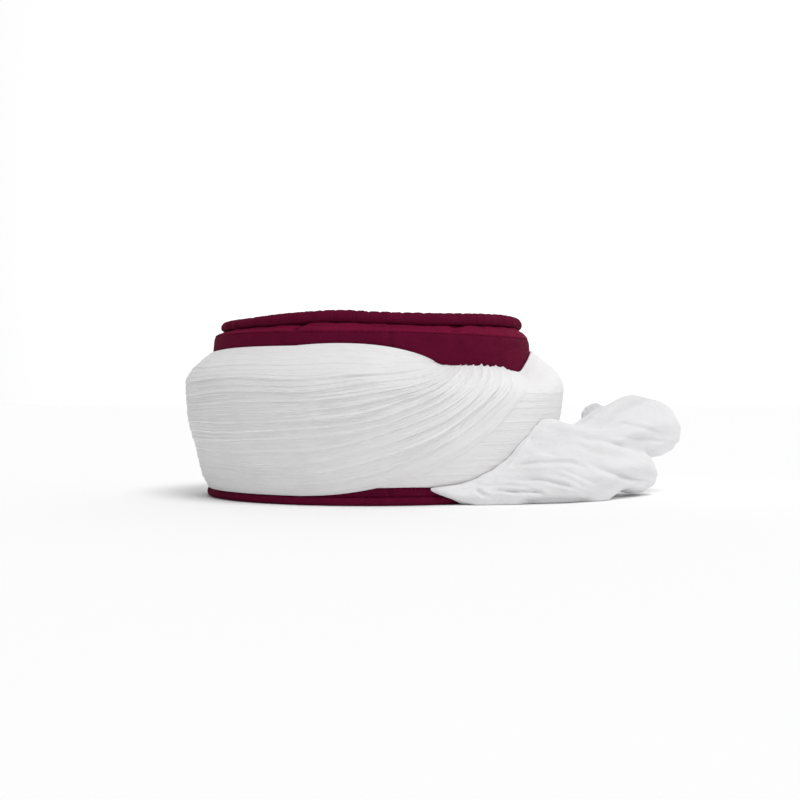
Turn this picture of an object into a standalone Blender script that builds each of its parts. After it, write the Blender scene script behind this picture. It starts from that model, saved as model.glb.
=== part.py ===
# A ready-tied turban: a stiff maroon skullcap with white pleated cloth wound round it and its loose end at the side.
# Metres, +Z up. The cap stands on the surface z = 0 with its long axis along X, and the side shown faces -Y.
# Shapes are worked out round the cap's own vertical axis, which the empty "turban" then places.
# An azimuth is measured round that axis in degrees: 0 faces -Y, 90 the loose end at +X, and -90 the other end.

import math

import bmesh
import bpy
from mathutils import Vector

# Where the cap's axis stands, so that the origin is the middle of the whole part's footprint.
CAP_AXIS_X = -0.0391
CAP_AXIS_Y = 0.0002

# Cap. Its plan is an oval, and half sizes are to the outside of the side wall at its foot.
HALF_LENGTH = 0.0975
HALF_WIDTH = 0.0885
WALL_THICKNESS = 0.003
WALL_LEAN = 0.0227  # metres that the wall leans in for each metre of height
WALL_FOOT_Z = 0.0015
SEAM_GAP = 0.0003  # between pieces that are sewn together

HEM_HEIGHT = 0.0042
HEM_THICKNESS = 0.0012

# Outside of the wall from the strip's lower stitch line up to the rim, and back down its inside.
STRIP_STITCH_Z = 0.0913
STRIP_STITCH_DEPTH = 0.0007
STRIP_BULGE_Z = 0.0942
STRIP_BULGE_OUTSET = -0.0012
WALL_SHOULDER_Z = 0.088
WALL_TOP_Z = 0.0972
WALL_TOP_OUTSET = -0.0044
WALL_TURN_IN = 0.0072  # how far the wall's top edge is turned in under the crown

RIM_HEIGHT = 0.0069
RIM_WIDTH = 0.0078
RIM_OUTSET = -0.0044
RIM_PUCKERS = 88
RIM_PUCKER_DEPTH = 0.0005

CROWN_UNDERSIDE_Z = 0.0980
CROWN_EDGE_TOP_Z = 0.1026
CROWN_DOME = 0.0012
CROWN_STITCH_DEPTH = 0.0006
CROWN_STITCH_SHARES = (0.86, 0.5)  # stitched ovals, as shares of the crown's half length

# Wrap. Outsets are from the wall's own line at the same height.
RING_STEPS = 56
WALL_CLEARANCE = 0.0004
TURN_GAP = 0.0009  # between the inner turns and the outer one
SWEEP_GAP = 0.0008  # added to it where the outer turn rises to the tuck
OUTER_TURN_EDGE = 0.0012
OUTER_TURN_SWELL = 0.0009
PLEAT_DEPTH = 0.0007
TOP_ROW_SHARE = 0.94  # of the height from shoulder to top at which the inner turns' uppermost row lies
THINNEST = 0.0013
UNDER_ROWS = 16
OVER_ROWS = 16
OVER_FIRST_AZIMUTH = -216.0
OVER_SWEEP_AZIMUTH = -24.0
SWEEP_STEPS = 14
ROUND_SHARE = 0.7  # of the belly's curve that is a sine, the rest being straight
SHOULDER_POWER = 2.2  # how long the curve stays full above the shoulder before it turns in

# Form of the inner turns, a row for each azimuth.
WRAP_COLUMNS = ("azimuth", "foot_outset", "belly_outset", "shoulder_z", "bottom_z", "top_z")
WRAP_STATIONS = (
    (-180, -0.0003, 0.0140, 0.0630, 0.0090, 0.0825),
    (-90, -0.0003, 0.0137, 0.0625, 0.0090, 0.0825),
    (-24, -0.0003, 0.0137, 0.0625, 0.0090, 0.0815),
    (0, -0.0003, 0.0137, 0.0620, 0.0090, 0.0800),
    (20, -0.0001, 0.0137, 0.0580, 0.0088, 0.0738),
    (45, 0.0005, 0.0145, 0.0570, 0.0065, 0.0735),
    (56, 0.0010, 0.0155, 0.0580, 0.0055, 0.0735),
    (67, 0.0012, 0.0174, 0.0605, 0.0050, 0.0782),
    (78, 0.0014, 0.0195, 0.0620, 0.0050, 0.0835),
    (90, 0.0014, 0.0200, 0.0625, 0.0050, 0.0855),
    (132, 0.0008, 0.0165, 0.0630, 0.0060, 0.0850),
    (150, -0.0003, 0.0150, 0.0630, 0.0085, 0.0835),
    (180, -0.0003, 0.0140, 0.0630, 0.0090, 0.0825),
)

# Pleats of the outer turn, a row for each share of the way up. A pleat runs level at level_z, bends, and ends at the tuck.
PLEAT_COLUMNS = ("share", "level_z", "bend_azimuth", "bend_z", "tuck_azimuth", "tuck_z")
PLEAT_STATIONS = (
    (0.0, 0.0045, 30.0, 0.0045, 54.0, 0.0728),
    (0.055, 0.0090, 23.5, 0.0090, 47.5, 0.0742),
    (0.29, 0.0282, 14.0, 0.0280, 36.0, 0.0753),
    (0.46, 0.0420, 10.0, 0.0420, 30.2, 0.0752),
    (0.62, 0.0552, 8.0, 0.0555, 27.0, 0.0752),
    (1.0, 0.0862, 8.0, 0.0905, 23.3, 0.0757),
)
TUCK_HOOK = 6.0  # degrees that the lowest pleats hook on round the cap at the tuck
OVER_BACK_TOP_Z = 0.0850  # top edge of the outer turn round the back and the far end

# Loose end, as two bundles of folds and a small curled corner. A row for each upright section along a bundle:
# x, y, height of its bottom, height of its top, half width.
LOW_BUNDLE = (
    (0.0360, -0.0868, 0.0062, 0.0074, 0.0010),
    (0.0440, -0.0862, 0.0036, 0.0084, 0.0032),
    (0.0520, -0.0832, 0.0012, 0.0096, 0.0056),
    (0.0600, -0.0790, 0.0000, 0.0120, 0.0080),
    (0.0700, -0.0750, 0.0000, 0.0175, 0.0110),
    (0.0800, -0.0700, 0.0000, 0.0230, 0.0150),
    (0.0920, -0.0640, 0.0000, 0.0280, 0.0185),
    (0.1060, -0.0560, 0.0000, 0.0330, 0.0205),
    (0.1200, -0.0450, 0.0000, 0.0350, 0.0210),
    (0.1340, -0.0320, 0.0000, 0.0335, 0.0205),
    (0.1470, -0.0190, 0.0000, 0.0300, 0.0190),
    (0.1580, -0.0090, 0.0000, 0.0250, 0.0150),
    (0.1650, -0.0030, 0.0020, 0.0210, 0.0100),
    (0.1685, 0.0000, 0.0080, 0.0150, 0.0030),
)
HIGH_BUNDLE = (
    (0.0750, -0.0735, 0.0080, 0.0190, 0.0040),
    (0.0805, -0.0695, 0.0110, 0.0265, 0.0070),
    (0.0870, -0.0650, 0.0130, 0.0330, 0.0100),
    (0.0960, -0.0590, 0.0150, 0.0415, 0.0140),
    (0.1040, -0.0550, 0.0170, 0.0468, 0.0150),
    (0.1130, -0.0480, 0.0190, 0.0430, 0.0170),
    (0.1240, -0.0380, 0.0200, 0.0425, 0.0180),
    (0.1340, -0.0260, 0.0210, 0.0490, 0.0190),
    (0.1450, -0.0130, 0.0210, 0.0555, 0.0200),
    (0.1570, -0.0010, 0.0210, 0.0590, 0.0205),
    (0.1690, 0.0080, 0.0215, 0.0575, 0.0190),
    (0.1790, 0.0140, 0.0230, 0.0540, 0.0145),
    (0.1865, 0.0180, 0.0265, 0.0470, 0.0085),
    (0.1900, 0.0200, 0.0320, 0.0400, 0.0020),
)
CURLED_CORNER = (
    (0.1440, -0.0020, 0.0360, 0.0500, 0.0050),
    (0.1380, 0.0020, 0.0400, 0.0550, 0.0045),
    (0.1330, 0.0040, 0.0415, 0.0550, 0.0040),
    (0.1290, 0.0050, 0.0435, 0.0520, 0.0030),
    (0.1270, 0.0055, 0.0465, 0.0490, 0.0010),
)
BUNDLE_FOLDS = 5
BUNDLE_FOLD_DEPTH = 0.10
BUNDLE_FOLD_TURN = 90.0  # degrees that the folds wind round a bundle from end to end
BUNDLE_SIDES = 20
CORNER_SIDES = 8
TAIL_CLEARANCE = 0.0006

MAROON_CLOTH = ("maroon_cotton", (0.125, 0.009, 0.028, 1.0), 0.85)
WHITE_CLOTH = ("white_voile", (0.80, 0.80, 0.81, 1.0), 0.9)


def cloth(name, colour, roughness):
    material = bpy.data.materials.get(name) or bpy.data.materials.new(name)
    material.use_nodes = True
    shader = material.node_tree.nodes["Principled BSDF"]
    shader.inputs["Base Color"].default_value = colour
    shader.inputs["Roughness"].default_value = roughness
    shader.inputs["Metallic"].default_value = 0.0
    return material


def smooth(share):
    return share * share * (3 - 2 * share)


def station(rows, columns, column, key):
    """The value of a table's column at a key in its first column, eased between the two rows beside it."""
    place = columns.index(column)
    key = min(max(key, rows[0][0]), rows[-1][0])
    for low, high in zip(rows, rows[1:]):
        if key <= high[0]:
            share = smooth((key - low[0]) / (high[0] - low[0]))
            return low[place] + (high[place] - low[place]) * share
    return rows[-1][place]


def wrap_value(column, azimuth):
    return station(WRAP_STATIONS, WRAP_COLUMNS, column, (azimuth + 180) % 360 - 180)


def plan_point(azimuth, outset, z):
    """A point at an outset from the wall's line at height z."""
    angle = math.radians(azimuth)
    reach = outset - WALL_LEAN * z
    return Vector(
        ((HALF_LENGTH + reach) * math.sin(angle), -(HALF_WIDTH + reach) * math.cos(angle), z)
    )


def turned_azimuths(steps):
    return [360 * i / steps - 180 for i in range(steps)]


def finish_object(name, bm, material, smooth_angle=40):
    bmesh.ops.recalc_face_normals(bm, faces=bm.faces)
    mesh = bpy.data.meshes.new(name)
    bm.to_mesh(mesh)
    bm.free()
    mesh.shade_smooth()
    mesh.set_sharp_from_angle(angle=math.radians(smooth_angle))
    mesh.materials.append(material)
    made = bpy.data.objects.new(name, mesh)
    bpy.context.scene.collection.objects.link(made)
    made.parent = bpy.data.objects["turban"]
    return made


def loft(name, loops, material, closed_round=False):
    """A solid through closed loops of points, one loop after another, closed back on itself or with flat ends."""
    bm = bmesh.new()
    rows = [[bm.verts.new(point) for point in loop] for loop in loops]
    pairs = list(zip(rows, rows[1:]))
    if closed_round:
        pairs.append((rows[-1], rows[0]))
    for first, second in pairs:
        for j in range(len(first)):
            k = (j + 1) % len(first)
            bm.faces.new((first[j], first[k], second[k], second[j]))
    if not closed_round:
        bm.faces.new(rows[0])
        bm.faces.new(reversed(rows[-1]))
    return finish_object(name, bm, material)


def ring(name, section_at, steps, material):
    """A solid that goes round the cap's axis. section_at gives the (outset, z) corners of its section at an azimuth."""
    loops = [
        [plan_point(azimuth, outset, z) for outset, z in section_at(azimuth)]
        for azimuth in turned_azimuths(steps)
    ]
    return loft(name, loops, material, closed_round=True)


def make_cap_wall(material):
    inner = -WALL_THICKNESS

    def section(azimuth):
        return (
            (0.0, WALL_FOOT_Z),
            (0.0, WALL_SHOULDER_Z),
            (-STRIP_STITCH_DEPTH, STRIP_STITCH_Z),
            (STRIP_BULGE_OUTSET, STRIP_BULGE_Z),
            (WALL_TOP_OUTSET, WALL_TOP_Z),
            (WALL_TOP_OUTSET - WALL_TURN_IN, WALL_TOP_Z),
            (WALL_TOP_OUTSET - WALL_TURN_IN, WALL_TOP_Z - 0.0015),
            (inner, WALL_SHOULDER_Z),
            (inner, WALL_FOOT_Z),
        )

    return ring("cap_wall", section, RING_STEPS, material)


def make_cap_hem(material):
    """A binding folded round the wall's foot, with a flat underside."""
    outer = SEAM_GAP + HEM_THICKNESS
    inner = -WALL_THICKNESS - SEAM_GAP - HEM_THICKNESS
    corner = 0.0009  # chamfers along the foot
    floor = WALL_FOOT_Z - SEAM_GAP

    def section(azimuth):
        return (
            (outer - corner, 0.0),
            (outer, corner),
            (outer, HEM_HEIGHT),
            (SEAM_GAP, HEM_HEIGHT),
            (SEAM_GAP, floor),
            (-WALL_THICKNESS - SEAM_GAP, floor),
            (-WALL_THICKNESS - SEAM_GAP, HEM_HEIGHT),
            (inner, HEM_HEIGHT),
            (inner, corner),
            (inner + corner, 0.0),
        )

    return ring("cap_hem", section, RING_STEPS, material)


def make_crown_rim(material):
    """A padded roll. Its outer side and top are drawn in at every pucker."""
    foot = WALL_TOP_Z + SEAM_GAP
    top = foot + RIM_HEIGHT
    steps = 2 * RIM_PUCKERS

    def section(step):
        pull = RIM_PUCKER_DEPTH if step % 2 else 0.0
        return (
            (RIM_OUTSET - 0.0012, foot),
            (RIM_OUTSET - pull, foot + 0.45 * RIM_HEIGHT),
            (RIM_OUTSET - 0.0022 - pull, top - pull),
            (RIM_OUTSET - RIM_WIDTH, top - 0.0010),
            (RIM_OUTSET - RIM_WIDTH, foot),
        )

    loops = [
        [plan_point(360 * step / steps, outset, z) for outset, z in section(step)]
        for step in range(steps)
    ]
    return loft("crown_rim", loops, material, closed_round=True)


def make_cap_crown(material):
    """A shallow dome with a flat underside, drawn in along each stitched oval."""
    edge = RIM_OUTSET - RIM_WIDTH - SEAM_GAP
    bm = bmesh.new()
    shares = [1.0]
    for share in CROWN_STITCH_SHARES:
        shares += [share + 0.03, share, share - 0.03]
    rings = []
    for share in shares:
        drawn_in = CROWN_STITCH_DEPTH if share in CROWN_STITCH_SHARES else 0.0
        z = CROWN_EDGE_TOP_Z + CROWN_DOME * (1 - share * share) - drawn_in
        loop = []
        for azimuth in turned_azimuths(RING_STEPS):
            point = plan_point(azimuth, edge, CROWN_EDGE_TOP_Z)
            loop.append(bm.verts.new((point.x * share, point.y * share, z)))
        rings.append(loop)
    centre = bm.verts.new((0, 0, CROWN_EDGE_TOP_Z + CROWN_DOME))
    underside = []
    for azimuth in turned_azimuths(RING_STEPS):
        point = plan_point(azimuth, edge, CROWN_EDGE_TOP_Z)
        underside.append(bm.verts.new((point.x, point.y, CROWN_UNDERSIDE_Z)))
    rings.insert(0, underside)
    for first, second in zip(rings, rings[1:]):
        for j in range(RING_STEPS):
            k = (j + 1) % RING_STEPS
            bm.faces.new((first[j], first[k], second[k], second[j]))
    for j in range(RING_STEPS):
        bm.faces.new((rings[-1][j], rings[-1][(j + 1) % RING_STEPS], centre))
    bm.faces.new(reversed(underside))
    return finish_object("cap_crown", bm, material)


def belly(azimuth, z):
    """Outset of the inner turns' smooth outside: a rounded slope out to the shoulder, then over it and in to the top."""
    foot = wrap_value("foot_outset", azimuth)
    full = wrap_value("belly_outset", azimuth)
    shoulder_z = wrap_value("shoulder_z", azimuth)
    if z <= shoulder_z:
        foot_z = PLEAT_STATIONS[0][1]
        share = max(0.0, (z - foot_z) / (shoulder_z - foot_z))
        curve = ROUND_SHARE * math.sin(share * math.pi / 2) + (1 - ROUND_SHARE) * share
        return foot + (full - foot) * curve
    share = min(1.0, (z - shoulder_z) / (wrap_value("top_z", azimuth) - shoulder_z))
    return full * (1 - share**SHOULDER_POWER)


def under_heights(azimuth):
    """Heights of the rows up the inner turns, closer together over the shoulder."""
    bottom = wrap_value("bottom_z", azimuth)
    shoulder = wrap_value("shoulder_z", azimuth)
    top = wrap_value("top_z", azimuth)
    lower_rows = round(UNDER_ROWS * 0.6)
    upper_rows = UNDER_ROWS - lower_rows
    lower = [bottom + (shoulder - bottom) * j / lower_rows for j in range(lower_rows + 1)]
    upper = [
        shoulder + (top - shoulder) * math.sin(math.pi / 2 * j / upper_rows) * TOP_ROW_SHARE
        for j in range(1, upper_rows + 1)
    ]
    return lower + upper


def make_wrap_under(material):
    def section(azimuth):
        heights = under_heights(azimuth)
        outside = []
        for j, z in enumerate(heights):
            groove = PLEAT_DEPTH if j % 2 and j < UNDER_ROWS - 1 else 0.0
            outset = belly(azimuth, z)
            outside.append((max(outset - groove, THINNEST), z))
        return [*outside, (WALL_CLEARANCE, heights[-1]), (WALL_CLEARANCE, heights[0])]

    return ring("wrap_under", section, RING_STEPS, material)


def pleat_point(share, along):
    """(azimuth, z) on a pleat of the outer turn. Along runs from 0 at its hidden start to 1 at the tuck."""
    at = {
        column: station(PLEAT_STATIONS, PLEAT_COLUMNS, column, share)
        for column in PLEAT_COLUMNS[1:]
    }
    level_steps = level_step_count()
    level_share = level_steps / (level_steps + SWEEP_STEPS)
    if along <= level_share:
        azimuth = OVER_FIRST_AZIMUTH + (OVER_SWEEP_AZIMUTH - OVER_FIRST_AZIMUTH) * along / level_share
        settle = smooth(min(1.0, (azimuth + 90) / (OVER_SWEEP_AZIMUTH + 90))) if azimuth > -90 else 0.0
        top_z = OVER_BACK_TOP_Z + (PLEAT_STATIONS[-1][1] - OVER_BACK_TOP_Z) * settle
        back_z = PLEAT_STATIONS[0][1] + (top_z - PLEAT_STATIONS[0][1]) * share
        return azimuth, back_z + (at["level_z"] - back_z) * settle
    t = (along - level_share) / (1 - level_share)
    start, bend, end = (1 - t) ** 2, 2 * t * (1 - t), t * t
    azimuth = start * OVER_SWEEP_AZIMUTH + bend * at["bend_azimuth"] + end * at["tuck_azimuth"]
    azimuth += TUCK_HOOK * (1 - share) * smooth(max(0.0, t - 0.8) / 0.2)
    return azimuth, start * at["level_z"] + bend * at["bend_z"] + end * at["tuck_z"]


def level_step_count():
    return round((OVER_SWEEP_AZIMUTH - OVER_FIRST_AZIMUTH) * RING_STEPS / 360)


def make_wrap_over(material):
    """The outer turn, a shell whose rows follow the pleats from its hidden start to the tuck."""
    steps = level_step_count() + SWEEP_STEPS
    loops = []
    for i in range(steps + 1):
        along = i / steps
        outside, inside = [], []
        for j in range(OVER_ROWS + 1):
            share = j / OVER_ROWS
            azimuth, z = pleat_point(share, along)
            rising = max(0.0, (azimuth - OVER_SWEEP_AZIMUTH) / (OVER_SWEEP_AZIMUTH * -2))
            inner = max(belly(azimuth, z), THINNEST) + TURN_GAP + SWEEP_GAP * min(1.0, rising)
            if j == OVER_ROWS:
                inner = WALL_CLEARANCE
            thickness = OUTER_TURN_EDGE + OUTER_TURN_SWELL * math.sin(math.pi * share)
            ridge = PLEAT_DEPTH if j % 2 == 0 and 0 < j < OVER_ROWS else 0.0
            inside.append(plan_point(azimuth, inner, z))
            outside.append(plan_point(azimuth, inner + thickness + ridge, z))
        loops.append(outside + inside[::-1])
    return loft("wrap_over", loops, material)


def spline_rows(rows, steps):
    """Rows along a smooth curve through the given ones, with so many steps between two of them."""
    fine = []
    for i in range(len(rows) - 1):
        before, after = rows[max(i - 1, 0)], rows[min(i + 2, len(rows) - 1)]
        for step in range(steps):
            t = step / steps
            fine.append([
                ((2 * t - 3) * t * t + 1) * p + (3 - 2 * t) * t * t * q
                + ((t - 2) * t + 1) * t * (q - o) / 2 + (t - 1) * t * t * (r - p) / 2
                for o, p, q, r in zip(before, rows[i], rows[i + 1], after)
            ])
    return [*fine, list(rows[-1])]


def bundle(name, table, steps, sides, folds, material):
    """A loft of upright sections with folds round them, flat where it lies on the surface."""
    rows = spline_rows(table, steps)
    loops = []
    for i, (x, y, bottom, top, half_width) in enumerate(rows):
        start, end = rows[max(i - 1, 0)], rows[min(i + 1, len(rows) - 1)]
        across = Vector((start[1] - end[1], end[0] - start[0], 0)).normalized()
        turn = math.radians(BUNDLE_FOLD_TURN) * i / len(rows)
        middle = Vector((x, y, (bottom + top) / 2))
        loop = []
        for k in range(sides):
            angle = 2 * math.pi * k / sides
            reach = 1 + (BUNDLE_FOLD_DEPTH * math.cos(folds * angle + turn) if folds else 0.0)
            point = middle + across * half_width * reach * math.cos(angle)
            point.z += (top - bottom) / 2 * reach * math.sin(angle)
            point.z = max(point.z, 0.0)
            loop.append(point)
        loops.append(loop)
    return loft(name, loops, material)


def make_wrap_clearance(material):
    """A solid cutter as large as the wrap and the cap with the tail's clearance round them."""
    heights = [-0.01, 0.0, 0.004, 0.012, 0.022, 0.034, 0.048, 0.062, 0.070, 0.078, 0.095]

    def outset(azimuth, z):
        covered = OVER_SWEEP_AZIMUTH < azimuth < PLEAT_STATIONS[0][4]
        cover = TURN_GAP + OUTER_TURN_EDGE + OUTER_TURN_SWELL + PLEAT_DEPTH if covered else 0.0
        foot = SEAM_GAP + HEM_THICKNESS
        return max(belly(azimuth, max(z, 0.0)) + cover, foot) + TAIL_CLEARANCE

    loops = [
        [plan_point(azimuth, outset(azimuth, z), z) for azimuth in turned_azimuths(RING_STEPS)]
        for z in heights
    ]
    return loft("wrap_clearance", loops, material)


def hide_helper(helper):
    helper.hide_render = True
    helper.display_type = "WIRE"


def combine(target, helper, operation):
    step = target.modifiers.new(operation.lower() + "_" + helper.name, "BOOLEAN")
    step.operation = operation
    step.object = helper
    step.solver = "EXACT"
    hide_helper(helper)


def make_tail(material):
    tail = bundle("tail", LOW_BUNDLE, 2, BUNDLE_SIDES, BUNDLE_FOLDS, material)
    high = bundle("tail_high", HIGH_BUNDLE, 2, BUNDLE_SIDES, BUNDLE_FOLDS, material)
    corner = bundle("tail_corner", CURLED_CORNER, 1, CORNER_SIDES, 0, material)
    combine(tail, high, "UNION")
    combine(tail, corner, "UNION")
    combine(tail, make_wrap_clearance(material), "DIFFERENCE")
    return tail


def main():
    for obj in list(bpy.data.objects):
        bpy.data.objects.remove(obj)
    turban = bpy.data.objects.new("turban", None)
    turban.location = (CAP_AXIS_X, CAP_AXIS_Y, 0)
    bpy.context.scene.collection.objects.link(turban)
    maroon = cloth(*MAROON_CLOTH)
    white = cloth(*WHITE_CLOTH)
    make_cap_wall(maroon)
    make_cap_hem(maroon)
    make_crown_rim(maroon)
    make_cap_crown(maroon)
    make_wrap_under(white)
    make_wrap_over(white)
    make_tail(white)


main()
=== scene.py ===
import math

import bmesh
import bpy
from mathutils import Matrix, Vector, kdtree, noise


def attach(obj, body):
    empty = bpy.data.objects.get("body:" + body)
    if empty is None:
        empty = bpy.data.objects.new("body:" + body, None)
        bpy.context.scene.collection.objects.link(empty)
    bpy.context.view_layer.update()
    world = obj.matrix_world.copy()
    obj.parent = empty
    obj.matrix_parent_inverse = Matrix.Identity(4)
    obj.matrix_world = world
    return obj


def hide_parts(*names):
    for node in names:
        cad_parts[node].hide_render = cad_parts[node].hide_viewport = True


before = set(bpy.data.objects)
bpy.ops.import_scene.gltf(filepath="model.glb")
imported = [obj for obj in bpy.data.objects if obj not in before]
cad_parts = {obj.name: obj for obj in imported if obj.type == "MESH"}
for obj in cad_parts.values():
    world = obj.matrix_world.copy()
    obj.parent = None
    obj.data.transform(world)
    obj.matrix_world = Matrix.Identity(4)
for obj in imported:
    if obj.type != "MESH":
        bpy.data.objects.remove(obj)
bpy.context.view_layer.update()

# Ready-tied turban. Shapes are worked out round the cap's upright axis.
# An azimuth is in degrees round it: 0 faces -Y, 90 the loose end at +X, -90 the other end.
# An outset is measured from the cap wall's own outer line at the same height, in metres.

capAxis = Vector((-0.0391, 0.0002, 0.0))
ringRadius = 0.09  # rings are spun this large, then drawn out to the cap's oval

cap = {
    "halfLength": 0.0975,
    "halfWidth": 0.0885,
    "wallLean": 0.0227,  # metres inwards for each metre of height
    "steps": 528,  # round every ring, six for each pucker of the rim
    "seamAzimuth": 7.0,
    "seamDepth": 0.0008,
    "stripWaves": 0.0007,
    "stitchHeight": 0.0930,
    "pinchDepth": 0.0016,
    "quiltDepth": 0.00035,
}


def clamp(value, low=0.0, high=1.0):
    return min(max(value, low), high)


def ease(share):
    share = clamp(share)
    return share * share * (3 - 2 * share)


def bell(distance, width):
    return math.exp(-((distance / width) ** 2))


def curveValue(rows, columns, column, key):  # a smooth curve through one column of a table
    place = columns.index(column)
    key = clamp(key, rows[0][0], rows[-1][0])
    i = 0
    while i < len(rows) - 2 and key > rows[i + 1][0]:
        i += 1
    a, b = rows[i], rows[i + 1]
    before, after = rows[max(i - 1, 0)], rows[min(i + 2, len(rows) - 1)]
    span = b[0] - a[0]
    t = (key - a[0]) / span
    slopeA = (b[place] - before[place]) / (b[0] - before[0])
    slopeB = (after[place] - a[place]) / (after[0] - a[0])
    rise = b[place] - a[place]
    value = a[place] + (3 - 2 * t) * t * t * rise
    return value + span * t * (t - 1) * ((t - 1) * slopeA + t * slopeB)


def smoothLine(points, steps, closed=False):  # points along a smooth curve through the given ones
    count = len(points)
    line = []
    for i in range(count if closed else count - 1):
        places = [i + k for k in (-1, 0, 1, 2)]
        around = [points[k % count if closed else min(max(k, 0), count - 1)] for k in places]
        for step in range(steps):
            t = step / steps
            line.append(
                [
                    q
                    + (3 - 2 * t) * t * t * (r - q)
                    + t * (t - 1) * ((t - 1) * (r - p) / 2 + t * (s - q) / 2)
                    for p, q, r, s in zip(*around)
                ]
            )
    return line if closed else line + [list(points[-1])]


def ovalPoint(azimuth, outset, z):
    angle = math.radians(azimuth)
    reach = outset - cap["wallLean"] * z
    x = (cap["halfLength"] + reach) * math.sin(angle)
    y = -(cap["halfWidth"] + reach) * math.cos(angle)
    return Vector((x, y, z)) + capAxis


# Materials


def linearColour(code):
    shares = [int(code[i : i + 2], 16) / 255 for i in (1, 3, 5)]
    return [s / 12.92 if s <= 0.04045 else ((s + 0.055) / 1.055) ** 2.4 for s in shares] + [1.0]


def addNode(tree, kind, settings=None, links=None):
    node = tree.nodes.new("ShaderNode" + kind)
    for key, value in (settings or {}).items():
        if isinstance(key, int) or key in node.inputs:
            node.inputs[key].default_value = value
        else:
            setattr(node, key, value)
    for key, socket in (links or {}).items():
        tree.links.new(socket, node.inputs[key])
    return node


def clothMaterial(name, look, coordinates):
    # coordinates are the cloth's own, in metres along it and across it
    material = bpy.data.materials.new(name)
    material.use_nodes = True
    tree = material.node_tree
    shader = tree.nodes["Principled BSDF"]
    shader.inputs["Roughness"].default_value = look["roughness"]
    shader.inputs["IOR"].default_value = 1.47  # cellulose fibre
    shader.inputs["Specular IOR Level"].default_value = look["specular"]
    shader.inputs["Sheen Weight"].default_value = look["sheen"]
    shader.inputs["Sheen Roughness"].default_value = 0.5
    shader.inputs["Sheen Tint"].default_value = linearColour(look["sheenColour"])
    shader.inputs["Subsurface Weight"].default_value = look["scatter"]
    shader.inputs["Subsurface Radius"].default_value = (1.0, 1.0, 1.0)
    shader.inputs["Subsurface Scale"].default_value = 0.002
    if coordinates == "cloth":
        place = addNode(tree, "UVMap", {"uv_map": "cloth"}).outputs["UV"]
    else:
        place = addNode(tree, "Attribute", {"attribute_name": coordinates}).outputs["Vector"]
    stretched = addNode(tree, "Mapping", {"Scale": look["crinkleScale"]}, {"Vector": place})
    settings = {"Scale": 1.0, "Detail": 4.0, "Roughness": 0.6}
    crinkle = addNode(tree, "TexNoise", settings, {"Vector": stretched.outputs["Vector"]})
    bands = 0.314 / look["threadSpacing"]  # the wave node's scale for that spacing in metres
    threads = []
    for way in ("X", "Y"):
        settings = {"bands_direction": way, "Scale": bands, "Distortion": 0.6, "Detail": 1.0}
        threads.append(addNode(tree, "TexWave", settings, {"Vector": place}).outputs["Fac"])
    weave = addNode(tree, "Math", {"operation": "MULTIPLY"}, {0: threads[0], 1: threads[1]})
    settings = {"Strength": 1.0, "Distance": look["crinkleDepth"]}
    soft = addNode(tree, "Bump", settings, {"Height": crinkle.outputs["Fac"]})
    settings = {"Strength": 1.0, "Distance": look["threadDepth"]}
    links = {"Height": weave.outputs[0], "Normal": soft.outputs["Normal"]}
    fine = addNode(tree, "Bump", settings, links)
    tree.links.new(fine.outputs["Normal"], shader.inputs["Normal"])
    settings = {"Scale": look["mottleScale"], "Detail": 3.0, "Roughness": 0.55}
    mottle = addNode(tree, "TexNoise", settings, {"Vector": place})
    settings = {"operation": "MULTIPLY_ADD", 1: 0.6, 2: 0.12}
    uneven = addNode(tree, "Math", settings, {0: mottle.outputs["Fac"]})
    # paler on the crinkles' ridges and darker in their hollows, from the bump's own noise: painted shade,
    # mixed with random mottle
    settings = {"operation": "MULTIPLY_ADD", 1: 0.35}
    crinkleShadeAndMottle = addNode(tree, "Math", settings, {0: crinkle.outputs["Fac"], 2: uneven.outputs[0]})
    settings = {"data_type": "RGBA", 6: linearColour(look["deep"]), 7: linearColour(look["pale"])}
    colour = addNode(tree, "Mix", settings, {0: crinkleShadeAndMottle.outputs[0]})
    tree.links.new(colour.outputs[2], shader.inputs["Base Color"])
    return material


# Cotton voile, a thin open plain weave, crinkled in pressed pleats:
# matt, soft-edged shading, light passes a little.
voileLook = {
    "pale": "#f5f4f4",
    "deep": "#e7e6e7",
    "roughness": 0.9,
    "specular": 0.3,
    "sheen": 0.08,
    "sheenColour": "#ffffff",
    "scatter": 0.2,
    "crinkleScale": (70.0, 620.0, 620.0),  # creases about 14 mm long and 1.6 mm apart
    "crinkleDepth": 0.0005,
    "threadSpacing": 0.0009,  # real threads are 0.35 mm apart, too fine to show
    "threadDepth": 0.00006,
    "mottleScale": 60.0,
}

# Dyed cotton over padding, closely woven with a slight lustre: deep maroon, with painted shade darker in
# the crinkles' hollows.
maroonLook = {
    "pale": "#6c1233",
    "deep": "#45071f",
    "roughness": 0.75,
    "specular": 0.03,
    "sheen": 0.06,
    "sheenColour": "#c02050",
    "scatter": 0.0,
    "crinkleScale": (110.0, 260.0, 260.0),
    "crinkleDepth": 0.00035,
    "threadSpacing": 0.0010,  # real threads are 0.3 mm apart, too fine to show
    "threadDepth": 0.00016,
    "mottleScale": 130.0,
}

pleatedVoile = clothMaterial("cottonVoilePleated", voileLook, "cloth")
# The same voile, painted a little greyer as shade where it lies in its own folds
looseShadedLook = {**voileLook, "pale": "#efeeef", "deep": "#dfdedf"}
looseVoileShaded = clothMaterial("cottonVoileLooseShaded", looseShadedLook, "flow")
maroonCotton = clothMaterial("dyedCotton", maroonLook, "cloth")
# The same cotton, painted paler as light where the puffed strip faces up
stripLitLook = {**maroonLook, "pale": "#7e163a", "deep": "#60102d"}
maroonStripLit = clothMaterial("dyedCottonStripLit", stripLitLook, "cloth")
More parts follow.
